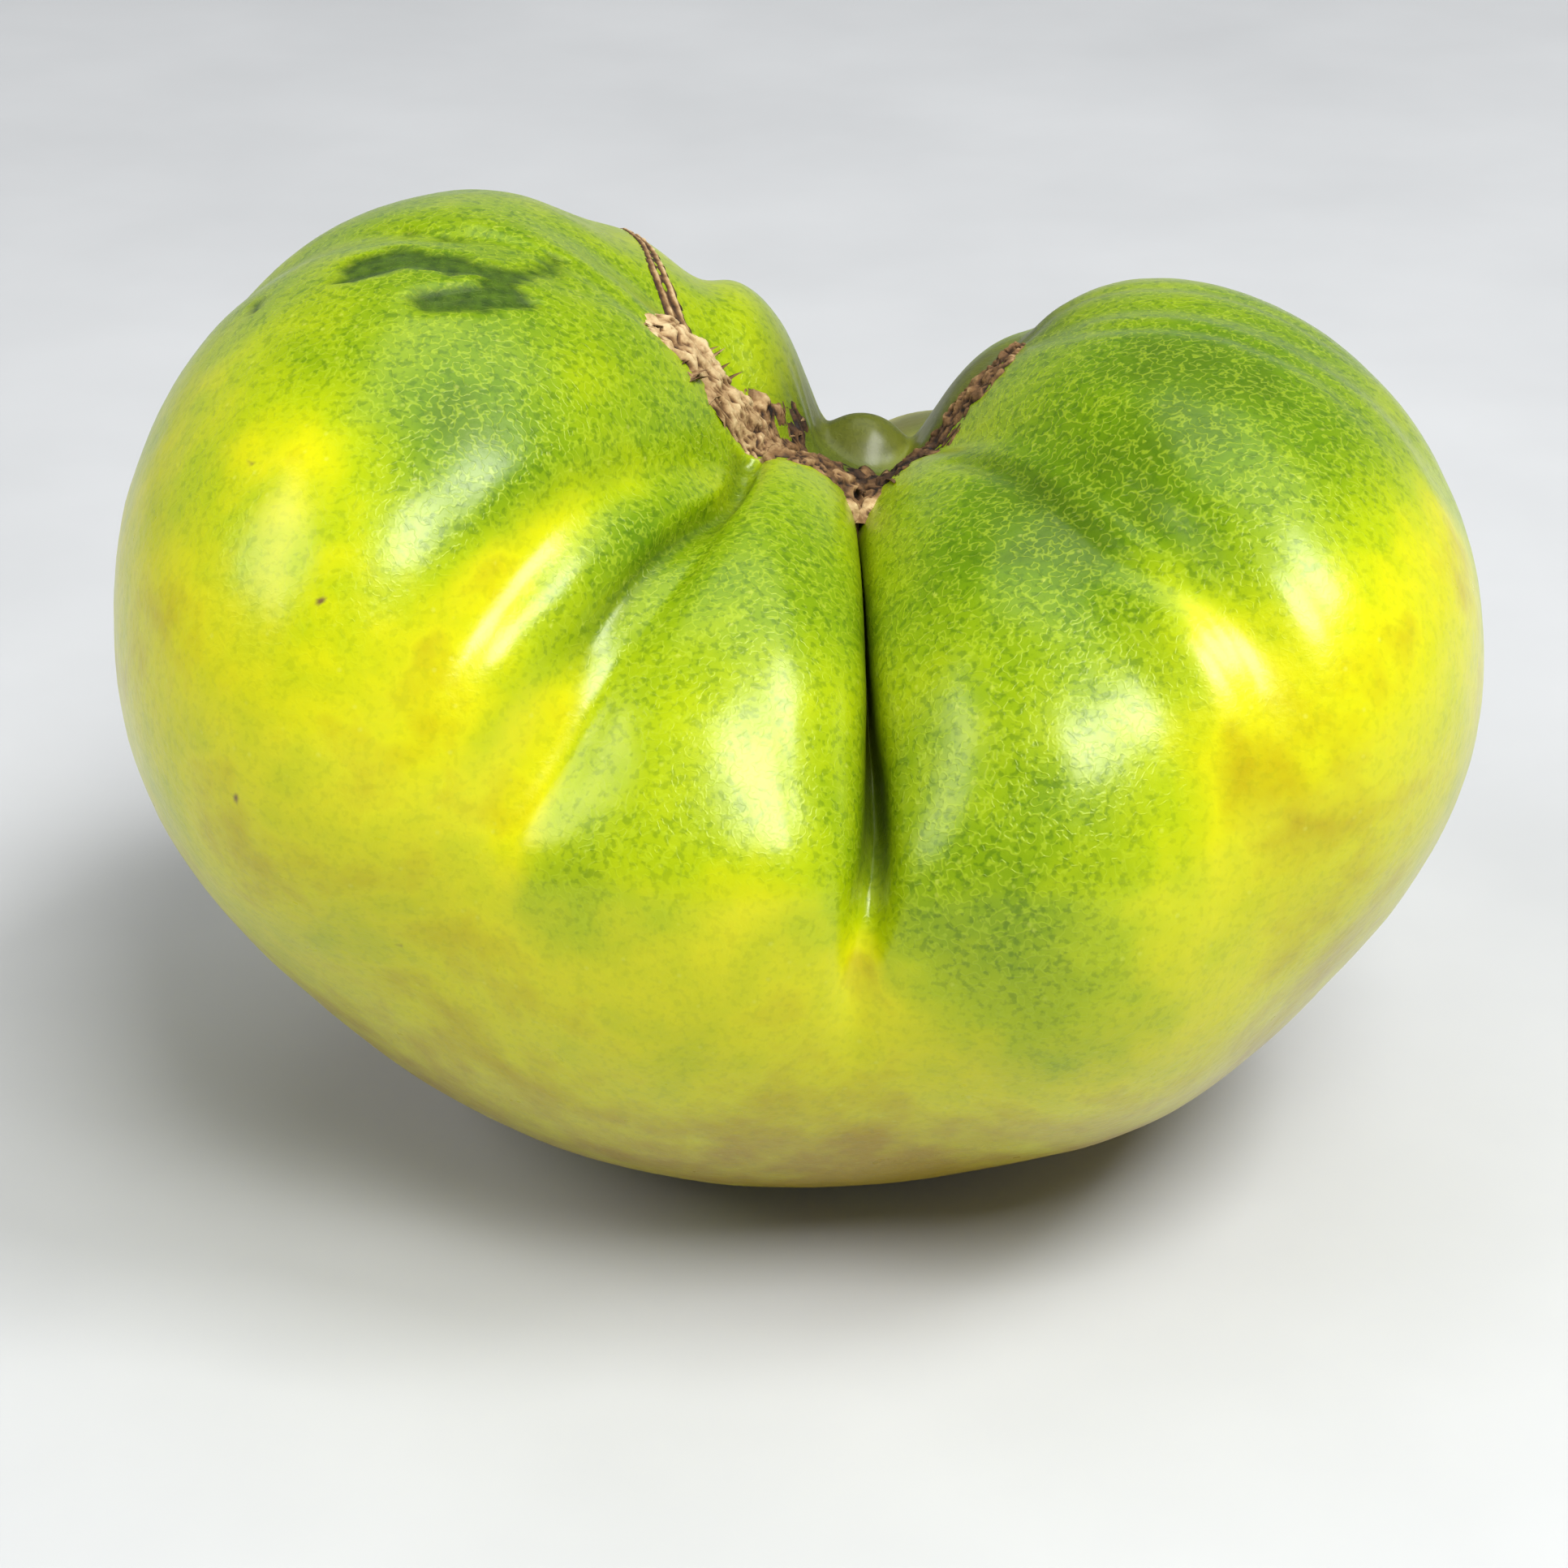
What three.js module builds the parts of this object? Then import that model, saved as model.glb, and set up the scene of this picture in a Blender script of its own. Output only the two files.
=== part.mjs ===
// A ribbed beefsteak tomato, in millimetres, +Z up, standing on the flat of its blossom end.
//
// The fruit grew as one piece, so it is one closed skin. Seen from the front it is heart-shaped: two swollen
// halves rise left and right of a notch. The stem scar crosses the notch from left to right, and furrows run
// out from it between the fruit's ribs.
//
// The skin is star-shaped. Its distance from a point at the fruit's heart is worked out in each direction:
// the largest reach of several swells, less the depth of the furrows there. It is modelled with x = 0 near
// the middle of the fruit, then set down with the middle of its bounding box over the origin.
import * as THREE from "three";

const WIDTH = 106; // left to right, X
const DEPTH = 88; // front to back, Y
const LEFT_TOP = 79.4; // height of the left shoulder
const RIGHT_TOP = 72.2; // height of the right shoulder
const NOTCH = 54.5; // height of the notch between them, before the scar sinks into it
const GIRTH = 44.5; // height at which the fruit is widest
const FLAT_LEVEL = 1.7; // the round of the underside is pressed flat up to this level, where it stands

const HEART = new THREE.Vector3(4.5, 0, 32); // radii are measured from here, below the lowest of the scar

const COLUMNS = 144; // of the skin's mesh, round the fruit
const ROWS = 44; // from the underside to the scar
const FURROW_STEPS = 120; // along each furrow
const CROWD_FRONT = 0.6; // how much closer the columns stand at the front
const CROWD_TOP = 0.35; // how much closer the rows stand at the top

// Each swell is an upper and a lower half ellipsoid that share a level rim. It states the middle of the rim,
// how far the rim reaches along X and Y, the degrees it is turned about +Z, and the heights of the swell's
// top and bottom.
const SWELLS = [
  { name: "base", middle: [0.5, 0, GIRTH], reach: [0.49 * WIDTH, 0.5 * DEPTH], top: NOTCH, bottom: 0 },
  { name: "left half", middle: [-26.5, -2, 51], reach: [25.6, 39], turn: -10, top: LEFT_TOP, bottom: 21 },
  { name: "right half", middle: [30, -3.5, 49.5], reach: [22.1, 36], turn: 7, top: RIGHT_TOP, bottom: 22 },
  { name: "front left rib", middle: [-6.5, -12, 41], reach: [24.5, 31.5], top: 63.5, bottom: 12 },
  { name: "front right rib", middle: [19, -12.5, 41], reach: [22.5, 32], top: 64.5, bottom: 12 },
  { name: "back left rib", middle: [-9, 12, 41], reach: [19, 30], top: 61, bottom: 14 },
  { name: "back right rib", middle: [22, 14, 41], reach: [14, 28], top: 55, bottom: 14 },
  { name: "left rib behind the scar", middle: [-17.5, 11, 46], reach: [14, 26], top: 74.5, bottom: 20 },
  { name: "next rib to the notch", middle: [-7.8, 10, 54], reach: [9.6, 19], top: 70.5, bottom: 20 },
  { name: "right rib behind the scar", middle: [17, 7, 50], reach: [8.8, 14], top: 63, bottom: 20 },
  { name: "knob behind the scar", middle: [5, 9, 44], reach: [7.2, 6.5], top: 59.8, bottom: 10 },
];
const SOFT_LOW = 3; // how far the corners between swells are rounded, low on the fruit
const SOFT_HIGH = 0.8; // and at its top

// A furrow runs through points near the skin. Each states x, y and z, then the furrow's depth, its half width
// and the width of its rounded floor there. Only the direction of a point from the heart counts. The walls
// are like the sides of two round ribs that touch.
const FURROWS = [
  {
    name: "stem scar",
    points: [
      [-18, 3, 77, 0, 6, 2],
      [-11.5, 1, 72, 3, 9, 3],
      [-3.5, 0, 63, 5, 10, 4],
      [4.2, 0, 57, 2.5, 9, 3],
      [9.5, 2, 60.5, 2.5, 7, 2],
      [15, 5, 65, 2.5, 6, 1],
      [20, 7, 68, 0, 5, 1],
    ],
  },
  {
    name: "front cleft",
    points: [
      [4.3, -2, 57, 2, 6, 1],
      [4.3, -6, 58, 7, 7, 1],
      [4.7, -18, 55, 9, 7.5, 0.8],
      [5, -31, 54, 8, 7, 0.9],
      [5.4, -40, 47, 8, 7, 1.2],
      [4.7, -42, 42, 3.5, 7, 1.5],
      [4, -44, 37, 1.5, 8, 1.5],
      [3.8, -41, 29, 0, 8, 1.5],
    ],
  },
  {
    name: "first left furrow",
    points: [
      [-5, -6, 67, 0, 5, 1.2],
      [-10, -17, 68, 1.5, 6, 1.2],
      [-17, -29, 66, 2.2, 7, 1.5],
      [-25, -37, 59, 1.8, 8, 2],
      [-31, -40, 46, 0, 8, 2],
    ],
  },
  {
    name: "second left furrow",
    points: [
      [-3.6, -4, 62, 1, 5, 0.8],
      [-5.6, -15, 65, 2.2, 5, 0.8],
      [-9.8, -27, 64, 1.5, 5, 1.2],
      [-15, -35, 60, 0.8, 6, 1.5],
      [-19, -40, 52, 0.6, 7, 2],
      [-23, -40, 39, 0, 7, 2],
    ],
  },
  {
    name: "first right furrow",
    points: [
      [11, -3, 61, 1.2, 5, 0.8],
      [15, -9, 64, 1.5, 5, 1],
      [24, -25, 63, 1.6, 6, 1.5],
      [32, -34, 57, 1.6, 7, 2],
      [35, -38, 48, 0, 8, 2],
    ],
  },
  {
    name: "furrow over the left shoulder",
    points: [
      [-11, -5, 72, 0.4, 5, 1],
      [-17, -8, 77, 0.8, 6, 1.2],
      [-26, -4, 79, 1.2, 7, 1.5],
      [-36, 1, 75, 1.2, 8, 2],
      [-46, 5, 64, 0, 7, 2],
    ],
  },
  {
    name: "furrow over the right shoulder",
    points: [
      [16, 3, 67, 0.5, 5, 1],
      [22, 2, 70, 0.8, 6, 1.2],
      [33, -2, 70, 0.9, 7, 1.5],
      [42, -6, 67, 0.8, 7, 2],
      [49, -15, 58, 0, 6, 2],
    ],
  },
  {
    name: "split behind the left end of the scar",
    points: [
      [-11, 2, 72, 0.6, 6, 2],
      [-15, 8, 75, 1.6, 8, 2.5],
      [-18, 20, 72, 2, 10, 3],
      [-20, 33, 60, 2, 10, 3],
      [-22, 42, 40, 0, 10, 3],
    ],
  },
  {
    name: "furrow behind the scar, left",
    points: [
      [-6, 3, 67, 0, 4, 1],
      [-7.5, 9, 70, 1, 7, 2],
      [-8, 20, 64, 2, 9, 2.5],
      [-9, 33, 56, 2, 9, 3],
      [-9, 42, 40, 0, 9, 3],
    ],
  },
  {
    name: "furrow behind the scar, right",
    points: [
      [12, 3, 63, 0.5, 5, 1],
      [16, 8, 66, 2.5, 6, 1],
      [20, 16, 66, 2.5, 8, 1.5],
      [23, 28, 60, 2.5, 10, 2],
      [24, 38, 44, 0, 10, 3],
    ],
  },
  {
    name: "back cleft",
    points: [
      [5, 12, 60, 0, 6, 2],
      [6, 18, 57, 4, 9, 2.5],
      [5, 28, 54, 6, 11, 3],
      [4, 37, 49, 6, 11, 3],
      [3, 42, 40, 3, 10, 3],
      [2, 42, 28, 0, 10, 3],
    ],
  },
];

// The distance from the heart to the far side of a swell, along a direction.
function swellRadius(swell, direction) {
  const middle = new THREE.Vector3(...swell.middle);
  const turn = new THREE.Matrix4().makeRotationZ(THREE.MathUtils.degToRad(-(swell.turn ?? 0)));
  const farSide = (rise) => {
    const size = new THREE.Vector3(...swell.reach, rise);
    const along = direction.clone().applyMatrix4(turn).divide(size);
    const from = HEART.clone().sub(middle).applyMatrix4(turn).divide(size);
    const a = along.lengthSq();
    const b = along.dot(from);
    const c = from.lengthSq() - 1;
    return (-b + Math.sqrt(Math.max(0, b * b - a * c))) / a;
  };
  const upper = farSide(swell.top - middle.z);
  return HEART.z + upper * direction.z > middle.z ? upper : farSide(middle.z - swell.bottom);
}

// The largest of the values, with the corners between them rounded over about softness millimetres.
function softMax(values, softness) {
  const top = Math.max(...values);
  const sum = values.reduce((total, value) => total + Math.exp((value - top) / softness), 0);
  return top + softness * Math.log(sum);
}

// A furrow as close steps along a smooth line through its points.
function course(furrow) {
  const directions = furrow.points.map(([x, y, z]) => new THREE.Vector3(x, y, z).sub(HEART).normalize());
  const line = new THREE.CatmullRomCurve3(directions);
  const shapes = furrow.points.map(([, , , depth, half, floor]) => new THREE.Vector3(depth, half, floor));
  const shapeLine = new THREE.CatmullRomCurve3(shapes);
  return Array.from({ length: FURROW_STEPS + 1 }, (_, i) => {
    const direction = line.getPoint(i / FURROW_STEPS).normalize();
    const [depth, half, floor] = shapeLine.getPoint(i / FURROW_STEPS).toArray();
    return { direction, depth, half, floor };
  });
}
const COURSES = FURROWS.map(course);

// How deep a furrow is cut along a direction, at a skin that stands a radius from the heart.
function furrowDepth(steps, direction, skin) {
  let deepest = 0;
  for (const step of steps) {
    const away = skin * step.direction.distanceTo(direction);
    const softened = away ** 4 / (away ** 3 + step.floor ** 3);
    const inward = 1 - softened / step.half;
    if (inward > 0) deepest = Math.max(deepest, step.depth * (1 - Math.sqrt(1 - inward * inward)));
  }
  return deepest;
}

// The distance from the heart to the skin, along a direction.
function skinRadius(direction) {
  const high = THREE.MathUtils.smoothstep(direction.z, -0.3, 1);
  const softness = THREE.MathUtils.lerp(SOFT_LOW, SOFT_HIGH, high);
  const skin = softMax(SWELLS.map((swell) => swellRadius(swell, direction)), softness);
  return skin - Math.hypot(...COURSES.map((furrow) => furrowDepth(furrow, direction, skin)));
}

// Moves a direction towards the front or the top, so that the mesh is finest where the skin is most creased.
function crowded(direction) {
  const fromCleft = Math.atan2(direction.x, -direction.y);
  const elevation = Math.asin(THREE.MathUtils.clamp(direction.z, -1, 1));
  const turned = fromCleft - CROWD_FRONT * Math.sin(fromCleft);
  const raised = elevation + CROWD_TOP * Math.cos(elevation);
  const level = Math.cos(raised);
  return new THREE.Vector3(level * Math.sin(turned), -level * Math.cos(turned), Math.sin(raised));
}

// The skin: a sphere with each vertex moved out to the skin's radius, or up to the flat it stands on.
function fruitGeometry() {
  const geometry = new THREE.SphereGeometry(1, COLUMNS, ROWS);
  geometry.rotateX(Math.PI / 2);
  const position = geometry.getAttribute("position");
  for (let i = 0; i < position.count; i++) {
    const direction = crowded(new THREE.Vector3().fromBufferAttribute(position, i));
    const point = direction.clone().multiplyScalar(skinRadius(direction)).add(HEART);
    position.setXYZ(i, point.x, point.y, Math.max(point.z, FLAT_LEVEL));
  }
  geometry.computeVertexNormals();
  setDown(geometry);
  return geometry;
}

// Puts the middle of the geometry's bounding box over the origin, with its lowest level at z = 0.
function setDown(geometry) {
  geometry.computeBoundingBox();
  const { min, max } = geometry.boundingBox;
  geometry.translate(-(min.x + max.x) / 2, -(min.y + max.y) / 2, -min.z);
}

const tomato = new THREE.Mesh(
  fruitGeometry(),
  new THREE.MeshStandardMaterial({ color: 0x9cad12, roughness: 0.3, metalness: 0 }),
);
tomato.name = "tomato";

const part = new THREE.Group();
part.add(tomato);
export default part;
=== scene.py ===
import math
import random

import bpy
import numpy as np
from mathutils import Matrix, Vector, noise
from mathutils.bvhtree import BVHTree


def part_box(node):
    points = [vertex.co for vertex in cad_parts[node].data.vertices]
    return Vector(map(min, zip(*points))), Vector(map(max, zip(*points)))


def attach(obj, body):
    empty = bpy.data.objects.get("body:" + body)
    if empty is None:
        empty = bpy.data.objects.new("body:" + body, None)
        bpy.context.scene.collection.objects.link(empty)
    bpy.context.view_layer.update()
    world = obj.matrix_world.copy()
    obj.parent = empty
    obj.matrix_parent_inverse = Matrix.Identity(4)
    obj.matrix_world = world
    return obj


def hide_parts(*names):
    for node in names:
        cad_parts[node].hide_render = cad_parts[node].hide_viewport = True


MM = 0.001

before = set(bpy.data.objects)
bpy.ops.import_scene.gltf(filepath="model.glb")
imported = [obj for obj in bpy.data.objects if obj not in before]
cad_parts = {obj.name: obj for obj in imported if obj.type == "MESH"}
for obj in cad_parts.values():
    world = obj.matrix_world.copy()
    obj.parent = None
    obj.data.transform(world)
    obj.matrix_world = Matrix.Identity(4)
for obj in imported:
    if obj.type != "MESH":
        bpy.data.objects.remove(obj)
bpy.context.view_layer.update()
cad_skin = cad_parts["tomato"]
low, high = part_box("tomato")
MIDDLE = (low + high) / 2

HEART_LEVEL = 30.3  # mm: from here, right under the CAD mesh's top pole, every ray meets the skin once
WELD_DECIMALS = 3  # of a millimetre, by which the CAD mesh's corners are matched
FINER_COLUMNS = 3  # visual columns for each of the CAD mesh's
FINER_ROWS = 4
LINE_STEPS = 240  # along each line over the skin

# Lines over the skin. Each point states x, y and z, then how strong the line is there and its half width.
# Only a point's direction from the heart counts. The strength of a crease is its depth in millimetres.
CREASES = {
    "front cleft": [
        (4, -4, 54, 0.6, 1), (4.5, -18, 53, 1, 1), (4.8, -31, 52, 1.2, 1), (5.2, -40, 45, 1, 1),
        (4.5, -42, 40, 0.5, 1.2), (3.8, -44, 35, 0.35, 1.5), (3.6, -41, 27, 0, 2),
    ],
    "first left furrow": [
        (-4, -7, 61, 0.3, 0.8), (-8, -15, 64, 0.7, 1), (-13, -22, 65, 0.9, 1.1), (-17, -27, 64, 0.9, 1.2),
        (-24, -36, 58, 0.6, 1.5), (-28, -39, 50, 0.3, 2), (-31, -40, 44, 0, 2),
    ],
    "second left furrow": [
        (-4, -8, 61, 0.9, 0.6), (-6, -16, 61, 1.3, 0.6), (-12, -27, 59, 1.1, 0.6), (-17, -34, 54, 0.5, 1),
        (-20, -38, 49, 0.3, 1.5), (-23, -39, 37, 0, 2),
    ],
    "first right furrow": [
        (12, -10, 63, 0.3, 1), (16, -16, 64, 0.4, 1), (22, -27, 62, 0.45, 1.3), (29, -33, 60, 0.45, 1.5),
        (33, -38, 53, 0.3, 2), (35, -39, 47, 0, 2),
    ],
    "over the right shoulder": [
        (17, 12, 64, 0.2, 1), (21, 0, 69, 0.3, 1.2), (32, -6, 70, 0.3, 1.2), (40, -11, 67, 0.25, 1.5),
        (47, -19, 60, 0, 2),
    ],
    "behind the right shoulder": [
        (21, 8, 68, 0.2, 1), (28, 7, 69, 0.25, 1.2), (39, 2, 68, 0.2, 1.2), (44, -2, 64, 0, 2),
    ],
    "over the left shoulder": [
        (-11, -6, 71, 0.3, 1), (-19, -4, 76, 0.3, 1.2), (-30, -1, 76, 0.25, 1.2), (-37, 4, 74, 0, 2),
    ],
}
YELLOW_LINES = {
    "first left furrow": [
        (-8, -15, 64, 0.3, 1.2), (-13, -22, 65, 1, 1.4), (-17, -27, 64, 1.2, 1.6), (-21, -32, 61, 1.1, 1.7),
        (-26, -38, 55, 0.7, 1.8), (-31, -40, 44, 0.3, 2.5),
    ],
    "second left furrow": [
        (-15, -32, 57, 0, 1), (-18, -36, 53, 0.7, 1.4), (-21, -39, 45, 0.7, 1.6), (-23, -39, 35, 0.2, 2.5),
    ],
    "under the cleft": [
        (4, -43, 40, 0, 1), (4, -43, 35, 0.6, 1.5), (4, -41, 28, 0.9, 4), (4, -38, 20, 0.7, 7),
        (4, -34, 14, 0.2, 9),
    ],
    "first right furrow": [
        (20, -23, 63, 0, 1.2), (26, -30, 61, 0.7, 1.6), (31, -36, 57, 1, 2), (34, -39, 50, 0.9, 2),
        (36, -39, 43, 0.4, 3),
    ],
}
# Painted shade: dark lines along the creases of the furrows and the front cleft, and round the foot of the
# knob, where the skin lies in shade.
PAINTED_SHADE_LINES = {
    "second left furrow": [
        (-4, -8, 61, 0.8, 0.5), (-6, -16, 61, 0.8, 0.4), (-12, -27, 59, 0.8, 0.35), (-16, -33, 55, 0.2, 0.5),
    ],
    "first right furrow": [
        (11, -6, 61, 0.5, 1.6), (15, -14, 64, 0.6, 1.4), (20, -24, 63, 0.4, 1.2), (24, -29, 61, 0, 1),
    ],
    "front cleft": [
        (4, -4, 54, 1, 1.4), (4.5, -18, 53, 1, 1.6), (4.8, -31, 52, 1, 1.8), (5.2, -40, 45, 1, 1.8),
        (4.6, -43, 39, 0, 1),
    ],
    "foot of the knob": [
        (-1, 2, 59, 0.6, 1.5), (1.5, 4, 57.5, 0.9, 2.2), (5, 4.5, 57, 1, 2.2), (9, 4, 58.5, 0.8, 2),
    ],
}

# Patches of the skin: the place of the middle, how far the patch reaches, and how strong it is.
# Ripe patches are yellower than the skin round them, and green ones less ripe.
RIPE_PATCHES = [
    (-37, -34, 58, 14, 0.25), (-50, -8, 52, 18, 0.3), (-41, -20, 70, 10, 0.1), (-34, -28, 69, 7, 0.15),
    (4, -40, 26, 10, 0.15), (40, -32, 50, 13, 0.3), (48, -20, 60, 9, 0.2), (-16, -18, 70, 4, 0.12),
    (-8, 14, 70, 8, 0.2),
]
GREEN_PATCHES = [
    (-24, -27, 69, 8, 0.3), (14, -20, 62, 10, 0.25), (20, -28, 61, 9, 0.22), (28, -10, 70, 13, 0.3),
    (33, -23, 67, 9, 0.15), (12, -41, 43, 11, 0.42), (-11, -43, 43, 9, 0.12), (-4, -22, 61, 10, 0.17),
    (-11, -25, 63, 3.5, 0.25), (-8, -19, 64, 3, 0.2), (-6, -34, 52, 11, 0.1), (-26, -9, 77, 14, 0.15),
    (-18, -40, 45, 6, 0.12), (20, -40, 34, 8, 0.15),
]
# Where the skin is a dull dark olive, partly its own grey cracked skin and partly painted shade: the knob and
# the low ribs behind the notch.
DULL_AND_SHADED_PATCHES = [(5, 9, 59, 7, 1.4), (17, 9, 63, 7, 1), (14, 4, 60, 4, 0.6), (9, 32, 53, 11, 1.2)]
# Dark ragged blotches on the left shoulder.
BLOTCHES = [
    (-33, -9, 76, 2.4, 1), (-30, -8, 77, 2.4, 1), (-26, -9, 77, 2.2, 0.9), (-22, -9, 76, 2, 0.9),
    (-18.5, -6, 75, 1.8, 0.8), (-27, -14.5, 76, 2, 1), (-24, -13.5, 75, 2.2, 1), (-21, -12, 75, 1.8, 1),
    (-30, -1, 76, 1.8, 0.7), (-26, -3, 77, 1.6, 0.7), (-41, -7, 73, 1.2, 0.7),
]
# Short scuffs: both ends, and the half width.
SCUFFS = [
    ((-39, -26, 68), (-39.2, -26.2, 67.7), 0.5), ((-34.5, -36, 62.5), (-33.5, -36, 61.5), 0.25),
    ((-40.5, -37, 47), (-39.5, -37, 45), 0.25), ((-30.5, -37, 35.5), (-29, -37, 34.5), 0.25),
]


# ---- The CAD skin as a grid ----


def welded(node):
    """The node's distinct vertices in millimetres, and its triangles as rows of indices into them."""
    mesh = node.data
    corners = np.empty(len(mesh.vertices) * 3)
    mesh.vertices.foreach_get("co", corners)
    mesh.calc_loop_triangles()
    triangles = np.array([t.vertices for t in mesh.loop_triangles])
    rounded = np.round(corners.reshape(-1, 3) / MM, WELD_DECIMALS)
    points, index = np.unique(rounded, axis=0, return_inverse=True)
    return points, index.reshape(-1)[triangles]


def skin_grid(node):
    """The skin's vertices as rows from the bottom pole to the top, by columns round it, and the heart."""
    points, triangles = welded(node)
    uses = np.bincount(triangles.ravel(), minlength=len(points))
    poles = np.argsort(uses)[-2:]
    columns = uses[poles[0]]
    bottom, top = points[poles[np.argsort(points[poles, 2])]]
    heart = np.array([top[0], top[1], HEART_LEVEL])
    rest = np.delete(points, poles, axis=0)
    from_heart = rest - heart
    nudge = 0.2 * math.tau / columns  # keeps rounding from parting the vertices of the column at azimuth 0
    azimuth = (np.arctan2(from_heart[:, 1], from_heart[:, 0]) + nudge) % math.tau
    by_column = rest[np.argsort(azimuth)].reshape(columns, -1, 3)
    level = by_column - heart
    polar = np.arctan2(level[..., 2], np.hypot(level[..., 0], level[..., 1]))
    rings = np.take_along_axis(by_column, np.argsort(polar, axis=1)[..., None], axis=1).transpose(1, 0, 2)
    ends = [np.tile(end, (1, columns, 1)) for end in (bottom, top)]
    return np.concatenate([ends[0], rings, ends[1]]), heart


def spline_weights(parts):
    """Cubic B-spline weights of four neighbours, at equal parts of the step between the middle two."""
    t = np.arange(parts) / parts
    return np.stack([(1 - t) ** 3, 3 * t**3 - 6 * t**2 + 4, 1 + 3 * t + 3 * t**2 - 3 * t**3, t**3], 1) / 6


def finer(grid):
    """The grid as a smooth spline surface with more rows and columns."""
    rows, columns, _ = grid.shape
    across_pole = np.roll(grid, columns // 2, axis=1)
    grid = np.concatenate([across_pole[1:2], grid, across_pole[-2:-1]])
    four = np.stack([grid[i : rows - 1 + i] for i in range(4)])
    down = np.einsum("pk,krcx->rpcx", spline_weights(FINER_ROWS), four).reshape(-1, columns, 3)
    top = four[1:, -1]
    down = np.concatenate([down, [(top[0] + 4 * top[1] + top[2]) / 6]])
    four = np.stack([np.roll(down, 1 - i, axis=1) for i in range(4)])
    fine = np.einsum("pk,krcx->rcpx", spline_weights(FINER_COLUMNS), four).reshape(len(down), -1, 3)
    for end in (0, -1):
        fine[end] = fine[end].mean(axis=0)
    return fine


# ---- Lines and patches on the skin ----


def unit(vectors):
    return vectors / np.linalg.norm(vectors, axis=-1, keepdims=True)


def smoothstep(value, start, end):
    t = np.clip((value - start) / (end - start), 0, 1)
    return t * t * (3 - 2 * t)


def smooth_line(points, steps):
    """Even steps of a Catmull-Rom line through rows of numbers: a place, and whatever is stated with it."""
    rows = np.array(points, float)
    rows = np.concatenate([[2 * rows[0] - rows[1]], rows, [2 * rows[-1] - rows[-2]]])
    at = np.linspace(0, len(points) - 1, steps)
    span = np.minimum(at.astype(int), len(points) - 2)
    t = (at - span)[:, None]
    a, b, c, d = (rows[span + i] for i in range(4))
    square = (2 * a - 5 * b + 4 * c - d) * t**2 / 2
    cube = (3 * b - a - 3 * c + d) * t**3 / 2
    return b + (c - a) * t / 2 + square + cube


def line_strength(places, heart, points, steps=LINE_STEPS):
    """How strong a line over the skin is at each place: its own strength on it, fading to either side."""
    line = smooth_line(points, steps)
    from_heart = places - heart
    radius = np.linalg.norm(from_heart, axis=1)
    cosine = (from_heart / radius[:, None]) @ unit(line[:, :3] - heart).T
    nearest = cosine.argmax(axis=1)
    away = radius * np.sqrt(np.maximum(0, 2 - 2 * cosine.max(axis=1)))
    return line[nearest, 3] * np.exp(-((away / line[nearest, 4]) ** 2))


def lines_strength(places, heart, lines):
    return np.max([line_strength(places, heart, points) for points in lines.values()], axis=0)


def patch_strength(places, patches):
    """The sum of round patches, each fading from its middle."""
    total = np.zeros(len(places))
    for x, y, z, reach, strength in patches:
        away = np.linalg.norm(places - np.array([x, y, z]), axis=1)
        total += strength * np.exp(-((away / reach) ** 2))
    return total


def noise_at(places, size, octaves=3):
    """Soft noise from about -1 to 1 whose lumps are about size millimetres."""
    return np.array([noise.fractal(Vector(p) / size, 1, 2, octaves) for p in places])


# ---- The skin ----


def ring_faces(rows, columns):
    """Faces of a closed skin whose vertices are the bottom pole, then rings, then the top pole."""

    def at(row, column):
        return 1 + row * columns + column % columns

    rings = rows - 2
    top = 1 + rings * columns
    faces = [(0, at(0, c + 1), at(0, c)) for c in range(columns)]
    for row in range(rings - 1):
        faces += [(at(row, c), at(row, c + 1), at(row + 1, c + 1), at(row + 1, c)) for c in range(columns)]
    return faces + [(top, at(rings - 1, c), at(rings - 1, c + 1)) for c in range(columns)]


def as_vertices(grid):
    """A grid's vertices in ring_faces order: each pole once."""
    return np.concatenate([grid[0, :1], grid[1:-1].reshape(-1, 3), grid[-1, :1]])


def make_mesh(name, places, faces, attributes=None):
    """A smooth-shaded object from places in millimetres, with a float attribute for each named array."""
    mesh = bpy.data.meshes.new(name)
    mesh.from_pydata((np.asarray(places) * MM).tolist(), [], faces)
    mesh.polygons.foreach_set("use_smooth", [True] * len(mesh.polygons))
    for label, values in (attributes or {}).items():
        layer = mesh.attributes.new(label, "FLOAT", "POINT")
        layer.data.foreach_set("value", np.asarray(values, np.float32))
    mesh.update()
    thing = bpy.data.objects.new(name, mesh)
    bpy.context.scene.collection.objects.link(thing)
    return thing


def vertex_normals(places, faces):
    mesh = bpy.data.meshes.new("for normals")
    mesh.from_pydata(places.tolist(), [], faces)
    mesh.update()
    normals = np.empty(len(places) * 3, np.float32)
    mesh.vertex_normals.foreach_get("vector", normals)
    bpy.data.meshes.remove(mesh)
    return normals.reshape(-1, 3)


# The ribs lean together over the front cleft. Each point states x, y and z, then how far they lean and
# from how far off.
PINCH = [
    (4, -4, 54, 1.2, 3.5), (4.5, -18, 53, 1.5, 3.5), (4.8, -31, 52, 1.5, 3.5), (5.2, -40, 45, 0.6, 3),
    (4.5, -42, 40, 0, 3),
]
PINCH_LIMIT = 0.92  # of the way to the middle of the cleft, so its walls never meet
BLOTCH_DEPTH = 0.3  # mm
BLOTCH_EDGE = (0.38, 0.7)  # patch strengths between which a blotch sets in
BLOTCH_RAGGED = 0.4  # of patch strength, taken off or added by the raggedness
RAGGED_SIZE = 2.5  # mm
WAVE_SIZE = 9  # mm, of the slow waves in the skin and its ripeness
WAVE_HEIGHT = 0.12  # mm
FLAT_LEVEL = 6  # mm above the floor, below which waves and creases fade out towards the foot
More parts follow.
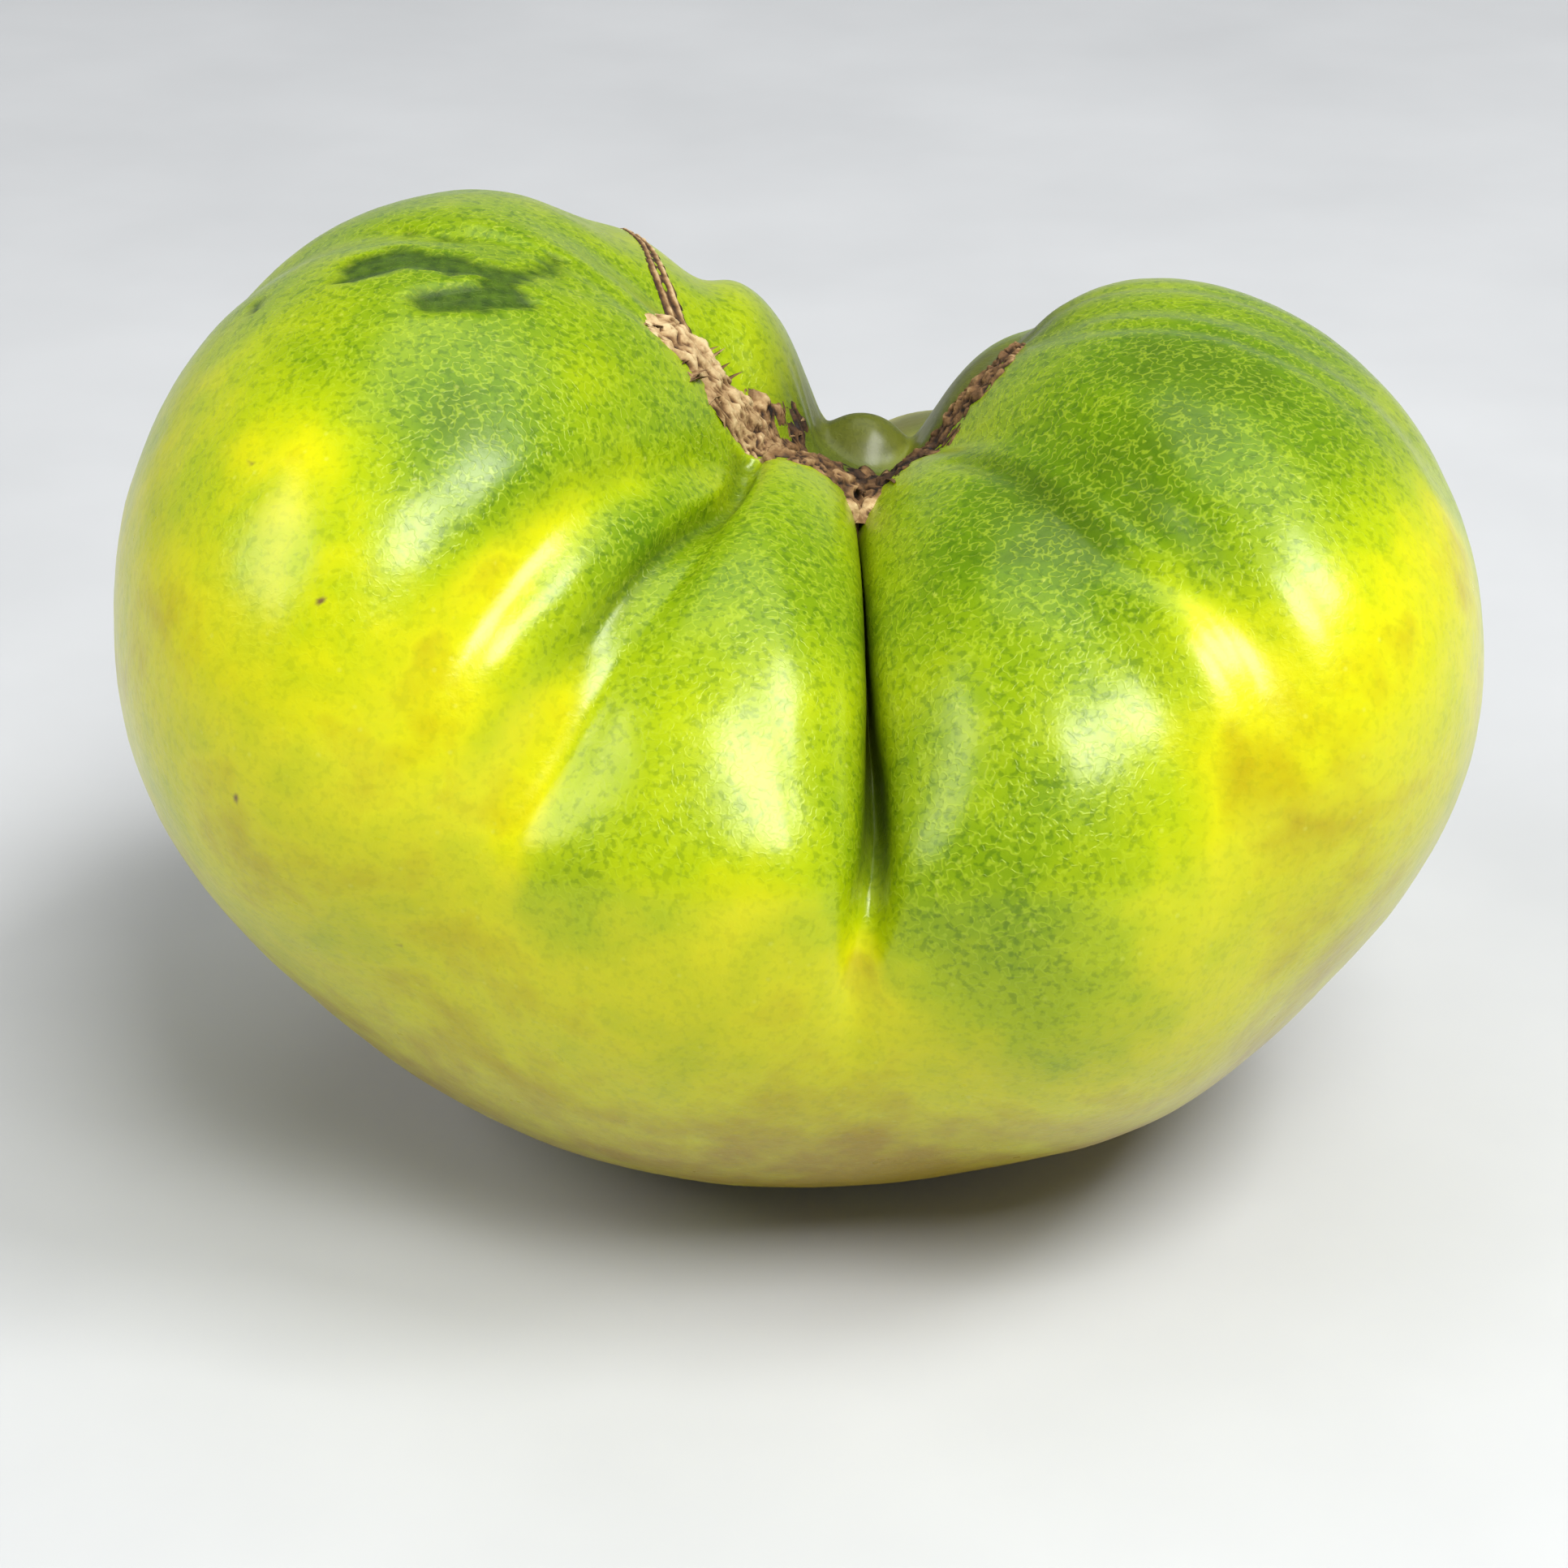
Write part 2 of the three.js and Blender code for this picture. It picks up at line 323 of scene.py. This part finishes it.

# Ripeness runs from 0, dark green, through 0.8, clear yellow, to 1, a darker olive yellow that is painted
# shade on the underside.
SHOULDER_RIPENESS = 0.45
RIPENING = 0.33  # added between the shoulders' level and the girth's
RIPENING_LEVELS = (66, 42)  # mm above the floor
WAVE_RIPENESS = 0.07
LINE_RIPENESS = 0.35
YELLOW_RIPENESS = 0.8
# Painted shade: near the floor the skin moves towards the darker olive end of the ramp.
UNDERSIDE_SHADE = 0.2
UNDERSIDE_SHADE_LEVELS = (32, 10)  # mm above the floor
SCUFF_STEPS = 12


def pinched(places, heart):
    """The places with the walls of the front cleft brought together, so that its ribs nearly touch."""
    line = smooth_line(PINCH, LINE_STEPS)
    from_heart = places - heart
    radius = np.linalg.norm(from_heart, axis=1)
    middles = unit(line[:, :3] - heart)
    sides = unit(np.cross(middles, np.gradient(middles, axis=0)))
    cosine = (from_heart / radius[:, None]) @ middles.T
    nearest = cosine.argmax(axis=1)
    beside = np.einsum("ij,ij->i", from_heart, sides[nearest])
    away = radius * np.sqrt(np.maximum(0, 2 - 2 * cosine.max(axis=1)))
    wanted = line[nearest, 3] * np.exp(-((away / line[nearest, 4]) ** 2))
    shift = np.minimum(wanted, PINCH_LIMIT * np.abs(beside))
    return places - sides[nearest] * (shift * np.sign(beside))[:, None]


def fruit_skin():
    """The skin as places, faces, heart and attributes."""
    grid, heart = skin_grid(cad_skin)
    fine = finer(grid)
    faces = ring_faces(*fine.shape[:2])
    places = as_vertices(fine)
    normals = vertex_normals(places, faces)
    height = places[:, 2]
    wave = noise_at(places, WAVE_SIZE)
    ragged = noise_at(places, RAGGED_SIZE)
    blotch = smoothstep(patch_strength(places, BLOTCHES) + BLOTCH_RAGGED * ragged, *BLOTCH_EDGE)
    sunk = lines_strength(places, heart, CREASES) + BLOTCH_DEPTH * blotch
    above_flat = smoothstep(height, 0, FLAT_LEVEL)
    moved = places + normals * ((WAVE_HEIGHT * wave - sunk) * above_flat)[:, None]
    moved = pinched(moved, heart)
    ripe = SHOULDER_RIPENESS + RIPENING * smoothstep(height, *RIPENING_LEVELS) + WAVE_RIPENESS * wave
    ripe += patch_strength(places, RIPE_PATCHES) - patch_strength(places, GREEN_PATCHES)
    ripe += LINE_RIPENESS * lines_strength(places, heart, YELLOW_LINES)
    # Painted shade: darker olive towards the floor.
    ripe = np.minimum(ripe, YELLOW_RIPENESS) + UNDERSIDE_SHADE * smoothstep(height, *UNDERSIDE_SHADE_LEVELS)
    # Painted shade in the creases and round the knob's foot.
    painted_shade = lines_strength(places, heart, PAINTED_SHADE_LINES)
    scuffs = [
        line_strength(places, heart, [(*start, 1, half), (*end, 1, half)], SCUFF_STEPS)
        for start, end, half in SCUFFS
    ]
    scuff = np.max(scuffs, axis=0)
    # The dull olive of the knob and the low ribs: partly their own colour, partly painted shade.
    dull_and_shaded = np.clip(patch_strength(places, DULL_AND_SHADED_PATCHES), 0, 1)
    attributes = {"ripe": ripe, "painted_shade": painted_shade, "blotch": blotch, "scuff": scuff, "dull_and_shaded": dull_and_shaded}
    return moved, faces, heart, attributes


# ---- The stem scar ----

# Points of the scar's middle line: x, y and z, then its half width there, how corky pale it is, and how far
# it stands up. The tip runs down into the front cleft, and the crack over the rib behind.
# The lowest tones, where the scar and the top of its tip sink into the notch, are painted shade of the pit.
SCAR = [
    (-9.8, -0.6, 69.6, 0.5, 0.7, 0.2), (-8.8, -1.8, 68.2, 1.8, 0.85, 0.5), (-6.8, -3.1, 65.8, 4.4, 0.8, 0.7),
    (-3.5, -2.8, 62, 5.5, 0.6, 0.7), (0.5, -1.8, 58, 5.6, 0.35, 0.5), (4, -0.2, 55.5, 6.5, 0.08, 0.2),
    (8, 0, 58, 5.2, 0.12, 0.2), (11.5, 1, 61, 3.8, 0.35, 0.3), (15, 3.5, 65, 2.4, 0.4, 0.3),
    (18, 6, 67, 0.5, 0.4, 0.2),
]
SCAR_TIP = [
    (4.2, 1, 55, 3, 0, 0.3), (4.3, -3, 55, 2.8, 0.15, 0.6), (4.4, -6, 55, 1.6, 0.6, 0.8),
    (4.5, -8.5, 54, 0.4, 0.5, 0.3),
]
CRACK = [
    (-9.9, 0.3, 69.9, 0.8, 0.45, 0.2), (-11.2, 5, 71.5, 0.65, 0.3, 0.2), (-12.9, 12, 72.5, 0.5, 0.3, 0.2),
    (-15, 19, 71.5, 0.3, 0.35, 0.1),
]
SCAR_MESH = (260, 72)  # columns along the strip, and rows across it
TIP_MESH = (70, 40)
CRACK_MESH = (110, 13)
FIBRE_SIZE = 0.9  # mm across the cork's fibres
FIBRE_STRETCH = 5  # how much longer they are than wide
FIBRE_BEND = 1.2  # mm to either side
FIBRE_BEND_SIZE = 4  # mm
FIBRE_RISE = 0.3  # mm
LUMP_SIZE = 1.6  # mm
LUMP_RISE = 0.5  # mm
SPLIT_SIZE = 1.3  # mm
SPLIT_WIDTH = 0.13  # of the split noise
SPLIT_DEPTH = 0.5  # mm
TORN_SIZE = 3  # mm between the notches of the torn edge
TORN_REACH = 0.3  # of the half width
TORN_DEPTH = 0.5  # mm below the skin
FIBRE_TONE = 0.2
LUMP_TONE = 0.3
SPLIT_TONE = 0.75
SCAR_TONE = -0.1
GRIT_SIZE = 0.8  # mm, of the unevenness of the crack's lips
GRIT_RISE = 0.1  # mm
LIP_PLACE = 0.5  # of the half width
LIP_WIDTH = 0.25
LIP_TONE = 0.75
GROOVE_TONE = 0.05


def strip_on_skin(name, points, mesh_size, relief, skin_tree, heart):
    """A strip along a line over the skin. relief gives its rise in millimetres and its tone at each place."""
    columns, rows = mesh_size
    line = smooth_line(points, columns)
    middles = unit(line[:, :3] - heart)
    sides = unit(np.cross(middles, np.gradient(middles, axis=0)))
    reach = np.linalg.norm(line[:, :3] - heart, axis=1)
    across = np.linspace(-1, 1, rows)
    turn = across[None, :] * (line[:, 3] / reach)[:, None]
    directions = unit(middles[:, None, :] + sides[:, None, :] * turn[..., None]).reshape(-1, 3)
    hits = [skin_tree.ray_cast(Vector(heart), Vector(d)) for d in directions]
    ground = np.array([hit[0] for hit in hits])
    normals = np.array([hit[1] for hit in hits])
    stated = np.repeat(line, rows, axis=0)
    rise, tone = relief(ground, np.tile(across, columns), stated)
    faces = [
        (c * rows + r, (c + 1) * rows + r, (c + 1) * rows + r + 1, c * rows + r + 1)
        for c in range(columns - 1)
        for r in range(rows - 1)
    ]
    return make_mesh(name, ground + normals * rise[:, None], faces, {"tone": tone})


def fibres(ground, across, stated):
    """Ridges up to 1 high that run along the strip."""
    along = np.cumsum(np.linalg.norm(np.diff(stated[:, :3], axis=0, prepend=stated[:1, :3]), axis=1))
    beside = across * stated[:, 3] + FIBRE_BEND * noise_at(ground, FIBRE_BEND_SIZE, 2)
    flat = np.stack([along / FIBRE_STRETCH, beside, 0 * along], axis=1)
    return 1 - np.abs(noise_at(flat, FIBRE_SIZE, 3)) * 2


def scar_relief(ground, across, stated):
    """Fibres, lumps and dark splits, sinking under the skin along a torn edge."""
    ridges = fibres(ground, across, stated)
    lumps = noise_at(ground, LUMP_SIZE)
    splits = 1 - smoothstep(np.abs(noise_at(ground, SPLIT_SIZE, 2)), 0, SPLIT_WIDTH)
    torn = np.abs(across + TORN_REACH * noise_at(ground, TORN_SIZE))
    inside = np.clip(1 - torn**3, 0, 1)
    cork = stated[:, 5] + FIBRE_RISE * ridges + LUMP_RISE * lumps - SPLIT_DEPTH * splits
    rise = inside * cork - TORN_DEPTH * (1 - inside)
    tone = stated[:, 4] + FIBRE_TONE * ridges + LUMP_TONE * lumps - SPLIT_TONE * splits + SCAR_TONE
    return rise, tone


def crack_relief(ground, across, stated):
    """Two pale lips with a dark groove between them."""
    grit = noise_at(ground, GRIT_SIZE)
    lips = np.exp(-(((np.abs(across) - LIP_PLACE) / LIP_WIDTH) ** 2))
    rise = stated[:, 5] * lips + GRIT_RISE * grit
    tone = LIP_TONE * lips + LUMP_TONE * grit + GROOVE_TONE
    return rise, tone


FLAKES = 30
FLAKE_STEPS = 5  # cross-sections of each
FLAKE_SEED = 11
FLAKE_FULLNESS = 0.7  # the power of the taper: below 1 a blade stays wide for longer
FLAKE_THICKNESS = 0.12  # mm, either side of the blade's middle
FLAKE_ROOT = 0.2  # mm sunk in the skin
FLAKE_LENGTHS = (1, 2.8)  # mm
FLAKE_HALF_WIDTHS = (0.5, 1.3)  # mm
FLAKE_TONES = (0.3, 0.8)
FLAKE_ENDS = (10, 14)  # steps of the scar's line left bare at its start and its end
FLAKE_BORDERS = (0.5, 0.9)  # of the scar's half width
FLAKE_UPRIGHT = (0.4, 0.9)
FLAKE_SIDEWAYS = 0.9
FLAKE_CURL_OUT = 0.5  # of its length
FLAKE_CURL_DOWN = (0.1, 0.5)


def flake(foot, outward, side, length, curl):
    """A thin pointed blade of torn cork: cross-sections of four corners, closing to a tip."""
    places = []
    for i in range(FLAKE_STEPS):
        t = i / FLAKE_STEPS
        middle = foot + outward * (length * t) + curl * (length * t * t)
        half = side * (1 - t) ** FLAKE_FULLNESS
        thick = FLAKE_THICKNESS * (1 - t) * np.cross(unit(side), unit(outward))
        places += [middle - half, middle - thick, middle + half, middle + thick]
    places.append(foot + outward * length + curl * length)
    faces = [
        (4 * i + k, 4 * i + (k + 1) % 4, 4 * i + 4 + (k + 1) % 4, 4 * i + 4 + k)
        for i in range(FLAKE_STEPS - 1)
        for k in range(4)
    ]
    last = 4 * (FLAKE_STEPS - 1)
    faces += [(last + k, last + (k + 1) % 4, 4 * FLAKE_STEPS) for k in range(4)]
    return places, faces + [(3, 2, 1, 0)]


def scar_flakes(skin_tree, heart):
    """Torn points of cork along both borders of the scar."""
    draw = random.Random(FLAKE_SEED)
    line = smooth_line(SCAR, LINE_STEPS)
    middles = unit(line[:, :3] - heart)
    tangents = unit(np.gradient(middles, axis=0))
    sides = unit(np.cross(middles, tangents))
    places, faces, tones = [], [], []
    for _ in range(FLAKES):
        step = draw.randrange(FLAKE_ENDS[0], LINE_STEPS - FLAKE_ENDS[1])
        border = draw.choice((-1, 1)) * draw.uniform(*FLAKE_BORDERS)
        reach = np.linalg.norm(line[step, :3] - heart)
        aim = unit(middles[step] + sides[step] * (border * line[step, 3] / reach))
        foot = np.array(skin_tree.ray_cast(Vector(heart), Vector(aim))[0])
        outward = sides[step] * np.sign(border)
        lean = unit(middles[step] * draw.uniform(*FLAKE_UPRIGHT) + outward * FLAKE_SIDEWAYS)
        length = draw.uniform(*FLAKE_LENGTHS)
        half_width = tangents[step] * draw.uniform(*FLAKE_HALF_WIDTHS)
        curl = outward * FLAKE_CURL_OUT - middles[step] * draw.uniform(*FLAKE_CURL_DOWN)
        blade, blade_faces = flake(foot - middles[step] * FLAKE_ROOT, lean, half_width, length, curl)
        faces += [tuple(len(places) + i for i in face) for face in blade_faces]
        places += blade
        tones += [draw.uniform(*FLAKE_TONES)] * len(blade)
    return make_mesh("scar_flakes", places, faces, {"tone": tones})


# ---- Materials ----

# Colours are linear. A ramp's stops are places along a value from 0 to 1, with the colours there.
# The stop at 1 is the darker olive of the painted shade on the underside.
RIPENING_STOPS = [
    (0.0, (0.06, 0.125, 0.001)), (0.2, (0.115, 0.22, 0.001)), (0.4, (0.21, 0.32, 0.001)),
    (0.6, (0.37, 0.46, 0.001)), (0.8, (0.60, 0.59, 0.001)), (1.0, (0.38, 0.26, 0.001)),
]
BLOTCH_STOPS = [(0.35, (0.012, 0.04, 0.002)), (0.7, (0.06, 0.12, 0.004))]
CORK_STOPS = [
    (0.0, (0.012, 0.006, 0.003)), (0.25, (0.06, 0.028, 0.010)), (0.5, (0.18, 0.095, 0.035)),
    (0.75, (0.40, 0.26, 0.12)), (1.0, (0.62, 0.47, 0.25)),
]
FLOOR_STOPS = [(0.3, (0.50, 0.51, 0.52)), (0.7, (0.55, 0.56, 0.57))]
WORM_COLOUR = (0.46, 0.58, 0.03, 1)
PIT_COLOUR = (0.06, 0.14, 0.001, 1)
DOT_COLOUR = (0.66, 0.70, 0.12, 1)
# The colour of the painted shade in the creases and round the knob's foot.
CREASE_SHADE_COLOUR = (0.035, 0.07, 0.003, 1)
# Dull dark olive: partly the skin's own grey colour, partly painted shade low in the notch.
DULL_AND_SHADE_COLOUR = (0.05, 0.049, 0.010, 1)
SCUFF_COLOUR = (0.16, 0.10, 0.03, 1)

CLOUD_SIZE = 11 * MM  # patches of uneven ripeness, and smaller ones within them
CLOUD_RIPENESS = 0.42
SMALL_CLOUD_SIZE = 2.8 * MM
SMALL_CLOUD_RIPENESS = 0.22
WORM_SIZE = 0.8 * MM  # thin pale winding lines
WORM_WIDTH = 0.07  # of the noise, to either side of its middle value
PIT_SIZE = 0.6 * MM  # dark green specks between them
PIT_EDGE = (0.5, 0.66)  # of the noise, between which a pit sets in
MOTTLED_RIPENESS = (0.8, 0.25)  # worms and pits are faint on the first and strong on the second
MOTTLING = (0.12, 0.75)
DOT_SIZE = 1.3 * MM
DOT_SHARE = 0.35  # of the cells hold a dot
DOT_EDGE = (0.06, 0.2)  # of a cell, between which a dot fades out
SCUFF_EDGE = (0.4, 0.8)
BLOTCH_GRAIN_SIZE = 1.2 * MM
GLOSS_SIZE = 3 * MM
ROUGHNESS = 0.24
ROUGHNESS_UNEVEN = 0.12
MATT_ROUGHNESS = 0.3  # added where the skin is dull
BLOTCH_MATT = 0.4  # of that on a blotch
PEEL_SIZE = 0.9 * MM  # the fine unevenness of the skin, in its bump
WORM_BUMP = 0.6
CORK_GRAIN_SIZE = 0.6 * MM
CORK_GRAIN_TONE = 0.7
CORK_BUMP_SIZE = 0.4 * MM
CORK_ROUGHNESS = (0.7, 0.95)
FLOOR_GRAIN_SIZE = 50 * MM
NOISE_DETAIL = 3.0  # octaves, and how many where the grain is finer
FINE_DETAIL = 5.0
IOR = 1.4


def new_material(name):
    material = bpy.data.materials.new(name)
    material.use_nodes = True
    material.node_tree.nodes.clear()
    return material


def node(tree, kind, inputs=None, **settings):
    """A node with its settings made. Each input is a number, a colour or another node's output."""
    made = tree.nodes.new("ShaderNode" + kind)
    for setting, value in settings.items():
        setattr(made, setting, value)
    for key, value in (inputs or {}).items():
        if isinstance(value, bpy.types.NodeSocket):
            tree.links.new(value, made.inputs[key])
        else:
            made.inputs[key].default_value = value
    return made


def math_of(tree, operation, a, b=0.0, clamp=False):
    return node(tree, "Math", {0: a, 1: b}, operation=operation, use_clamp=clamp).outputs[0]


def scaled(tree, value, amount, plus, clamp=False):
    """A value times an amount, plus another value."""
    inputs = {0: value, 1: amount, 2: plus}
    return node(tree, "Math", inputs, operation="MULTIPLY_ADD", use_clamp=clamp).outputs[0]


def mapped(tree, value, from_low, from_high, to_low=0.0, to_high=1.0):
    """A value eased from one range into another."""
    made = node(tree, "MapRange", {0: value, 1: from_low, 2: from_high, 3: to_low, 4: to_high})
    made.interpolation_type = "SMOOTHSTEP"
    return made.outputs[0]


def mixed(tree, factor, a, b):
    return node(tree, "Mix", {0: factor, 6: a, 7: b}, data_type="RGBA").outputs[2]


def ramp(tree, value, stops):
    """Colours at places along the value from 0 to 1."""
    made = node(tree, "ValToRGB", {0: value})
    elements = made.color_ramp.elements
    elements.remove(elements[1])
    elements[0].position = stops[0][0]
    for place, _ in stops[1:]:
        elements.new(place)
    for element, (_, colour) in zip(elements, stops):
        element.color = (*colour, 1)
    return made.outputs[0]


def attribute(tree, name):
    return node(tree, "Attribute", attribute_name=name).outputs["Fac"]


def grain(tree, size, detail=NOISE_DETAIL, offset=0.0):
    """Noise over the object whose lumps are about size metres. Grains at different offsets don't line up."""
    place = node(tree, "TexCoord").outputs["Object"]
    if offset:
        place = node(tree, "VectorMath", {0: place, 1: (offset, offset, offset)}, operation="ADD").outputs[0]
    return node(tree, "TexNoise", {"Vector": place, "Scale": 1 / size, "Detail": detail}).outputs["Fac"]


def noisy(tree, value, amount, grain_noise, clamp=False):
    """A value raised or lowered by up to half the amount."""
    return scaled(tree, math_of(tree, "SUBTRACT", grain_noise, 0.5), amount, value, clamp)


def worms(tree, size):
    """Thin winding lines, about size metres apart: 1 on a line and 0 away from it."""
    away = math_of(tree, "ABSOLUTE", math_of(tree, "SUBTRACT", grain(tree, size, 1.0), 0.5))
    return mapped(tree, away, 0.0, WORM_WIDTH, 1.0, 0.0)


def flecks(tree, size, share):
    """Small round dots in a share of the cells of a grid of about size metres."""
    place = node(tree, "TexCoord").outputs["Object"]
    cells = node(tree, "TexVoronoi", {"Vector": place, "Scale": 1 / size})
    dot = mapped(tree, cells.outputs["Distance"], *DOT_EDGE, 1.0, 0.0)
    draw = node(tree, "SeparateColor", {0: cells.outputs["Color"]}).outputs[0]
    return math_of(tree, "MULTIPLY", dot, math_of(tree, "LESS_THAN", draw, share))


def skin_colour(tree, ripeness, worm, mottling):
    colour = ramp(tree, ripeness, RIPENING_STOPS)
    pit = math_of(tree, "MULTIPLY", mapped(tree, grain(tree, PIT_SIZE, 2.0, 7.0), *PIT_EDGE), mottling)
    # Each layer's mask, how much it covers where the mask is 1, and its paint.
    layers = [
        (worm, 0.45, WORM_COLOUR),
        (pit, 0.85, PIT_COLOUR),
        (flecks(tree, DOT_SIZE, DOT_SHARE), 0.22, DOT_COLOUR),
        # Painted shade in the creases and round the knob's foot.
        (attribute(tree, "painted_shade"), 0.8, CREASE_SHADE_COLOUR),
        # Partly the skin's own dull olive, partly painted shade low in the notch.
        (attribute(tree, "dull_and_shaded"), 0.85, DULL_AND_SHADE_COLOUR),
        (attribute(tree, "blotch"), 0.92, ramp(tree, grain(tree, BLOTCH_GRAIN_SIZE, 4.0), BLOTCH_STOPS)),
    ]
    for mask, cover, paint in layers:
        colour = mixed(tree, math_of(tree, "MULTIPLY", mask, cover), colour, paint)
    return mixed(tree, mapped(tree, attribute(tree, "scuff"), *SCUFF_EDGE), colour, SCUFF_COLOUR)


def skin_roughness(tree):
    gloss = scaled(tree, grain(tree, GLOSS_SIZE, NOISE_DETAIL, 5.0), ROUGHNESS_UNEVEN, ROUGHNESS)
    blotch_matt = math_of(tree, "MULTIPLY", attribute(tree, "blotch"), BLOTCH_MATT)
    matt = math_of(tree, "MAXIMUM", blotch_matt, attribute(tree, "dull_and_shaded"))
    return math_of(tree, "ADD", gloss, math_of(tree, "MULTIPLY", matt, MATT_ROUGHNESS))


def skin_material():
    """Glossy skin, mottled where it is green and plain where it is yellow."""
    material = new_material("tomato_skin")
    tree = material.node_tree
    clouds = noisy(tree, attribute(tree, "ripe"), CLOUD_RIPENESS, grain(tree, CLOUD_SIZE))
    small_clouds = grain(tree, SMALL_CLOUD_SIZE, NOISE_DETAIL, 3.0)
    ripeness = noisy(tree, clouds, SMALL_CLOUD_RIPENESS, small_clouds, clamp=True)
    mottling = mapped(tree, ripeness, *MOTTLED_RIPENESS, *MOTTLING)
    worm = math_of(tree, "MULTIPLY", worms(tree, WORM_SIZE), mottling)
    height = scaled(tree, worm, WORM_BUMP, grain(tree, PEEL_SIZE, NOISE_DETAIL, 11.0))
    bump = node(tree, "Bump", {"Height": height, "Strength": 0.5, "Distance": 0.12 * MM}).outputs[0]
    shader = node(tree, "BsdfPrincipled", {
        "Base Color": skin_colour(tree, ripeness, worm, mottling),
        "Roughness": skin_roughness(tree),
        "Normal": bump,
        "IOR": IOR,
        "Subsurface Weight": 0.1,
        "Subsurface Radius": (1.0, 0.8, 0.2),
        "Subsurface Scale": 3 * MM,
        "Specular IOR Level": 0.35,
        "Specular Tint": (1.0, 1.0, 0.6, 1.0),
        "Coat Weight": 0.4,
        "Coat Roughness": 0.24,
    })
    node(tree, "OutputMaterial", {"Surface": shader.outputs[0]})
    return material


def cork_material():
    """Dry matt cork, from dark brown in its splits to pale tan on its ridges."""
    material = new_material("dry_cork")
    tree = material.node_tree
    cork_grain = grain(tree, CORK_GRAIN_SIZE, FINE_DETAIL)
    tone = noisy(tree, attribute(tree, "tone"), CORK_GRAIN_TONE, cork_grain, clamp=True)
    height = grain(tree, CORK_BUMP_SIZE, FINE_DETAIL, 4.0)
    shader = node(tree, "BsdfPrincipled", {
        "Base Color": ramp(tree, tone, CORK_STOPS),
        "Roughness": mapped(tree, grain(tree, 1 * MM, NOISE_DETAIL, 2.0), 0.3, 0.7, *CORK_ROUGHNESS),
        "Normal": node(tree, "Bump", {"Height": height, "Strength": 0.6, "Distance": 0.3 * MM}).outputs[0],
        "IOR": IOR,
    })
    node(tree, "OutputMaterial", {"Surface": shader.outputs[0]})
    return material


def floor_material():
    material = new_material("pale_floor")
    tree = material.node_tree
    shade = ramp(tree, grain(tree, FLOOR_GRAIN_SIZE, 4.0), FLOOR_STOPS)
    shader = node(tree, "BsdfPrincipled", {"Base Color": shade, "Roughness": 0.85, "IOR": IOR})
    node(tree, "OutputMaterial", {"Surface": shader.outputs[0]})
    return material


# ---- Camera, lights and floor ----

VIEW_ELEVATION = math.radians(27)
VIEW_DISTANCE = 303 * MM
VIEW_LENS = 85  # mm
AIM = MIDDLE + Vector((-1.4, 0.3, -9.7)) * MM
FLOOR_HALF = 3  # metres
ROOM_COLOUR = (0.9, 0.95, 1, 1)
WALL_LIGHT = 0.42
CEILING_LIGHT = 0.1
CEILING_RISE = 0.6  # of a unit direction, from which up the room is all ceiling

# Soft boxes: degrees round from the front towards +X, degrees above level, metres away, width, height, and
# power in watts.
SOFT_BOXES = {
    "key": (22, 54, 1.0, 0.38, 0.38, 8.4),
    "right": (68, 58, 1.0, 0.33, 0.36, 6.6),
    "top": (160, 72, 1.1, 0.9, 0.7, 3),
    "left": (-72, 38, 1.0, 0.45, 0.45, 3.4),
}


def direction_of(azimuth, elevation):
    """The unit vector at an azimuth from the front towards +X and an elevation, both in radians."""
    level = math.cos(elevation)
    return Vector((level * math.sin(azimuth), -level * math.cos(azimuth), math.sin(elevation)))


def aimed(thing, place, target):
    thing.location = place
    thing.rotation_euler = (target - place).to_track_quat("-Z", "Y").to_euler()
    bpy.context.scene.collection.objects.link(thing)
    return thing


def add_camera():
    lens = bpy.data.cameras.new("camera")
    lens.lens = VIEW_LENS
    camera = bpy.data.objects.new("camera", lens)
    bpy.context.scene.camera = aimed(camera, AIM + direction_of(0, VIEW_ELEVATION) * VIEW_DISTANCE, AIM)


def add_soft_box(name, azimuth, elevation, away, width, height, power):
    light = bpy.data.lights.new(name, "AREA")
    light.shape = "RECTANGLE"
    light.size = width
    light.size_y = height
    light.energy = power
    toward = direction_of(math.radians(azimuth), math.radians(elevation))
    aimed(bpy.data.objects.new(name, light), MIDDLE + toward * away, MIDDLE)


def add_world():
    """A pale room whose walls are brightest low down, where they catch the light of the floor."""
    world = bpy.data.worlds.new("room")
    world.use_nodes = True
    tree = world.node_tree
    direction = node(tree, "TexCoord").outputs["Generated"]
    rise = node(tree, "SeparateXYZ", {0: direction}).outputs["Z"]
    strength = mapped(tree, rise, 0.0, CEILING_RISE, WALL_LIGHT, CEILING_LIGHT)
    background = tree.nodes["Background"]
    background.inputs["Color"].default_value = ROOM_COLOUR
    tree.links.new(strength, background.inputs["Strength"])
    bpy.context.scene.world = world


def add_floor():
    half = FLOOR_HALF / MM
    corners = [(-half, -half, 0), (half, -half, 0), (half, half, 0), (-half, half, 0)]
    floor = make_mesh("floor", corners, [(0, 1, 2, 3)])
    floor.data.materials.append(floor_material())


# ---- The whole ----


def add_fruit():
    places, faces, heart, attributes = fruit_skin()
    skin = make_mesh("fruit_skin", places, faces, attributes)
    skin.data.materials.append(skin_material())
    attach(skin, "root")
    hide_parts("tomato")
    skin_tree = BVHTree.FromPolygons(places.tolist(), faces)
    cork = cork_material()
    scar = strip_on_skin("stem_scar", SCAR, SCAR_MESH, scar_relief, skin_tree, heart)
    tip = strip_on_skin("scar_tip", SCAR_TIP, TIP_MESH, scar_relief, skin_tree, heart)
    crack = strip_on_skin("scar_crack", CRACK, CRACK_MESH, crack_relief, skin_tree, heart)
    for piece in (scar, tip, crack, scar_flakes(skin_tree, heart)):
        piece.data.materials.append(cork)
        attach(piece, "root")


add_fruit()
add_floor()
add_world()
add_camera()
for box_name, box_settings in SOFT_BOXES.items():
    add_soft_box(box_name, *box_settings)
bpy.context.scene.view_settings.view_transform = "Standard"
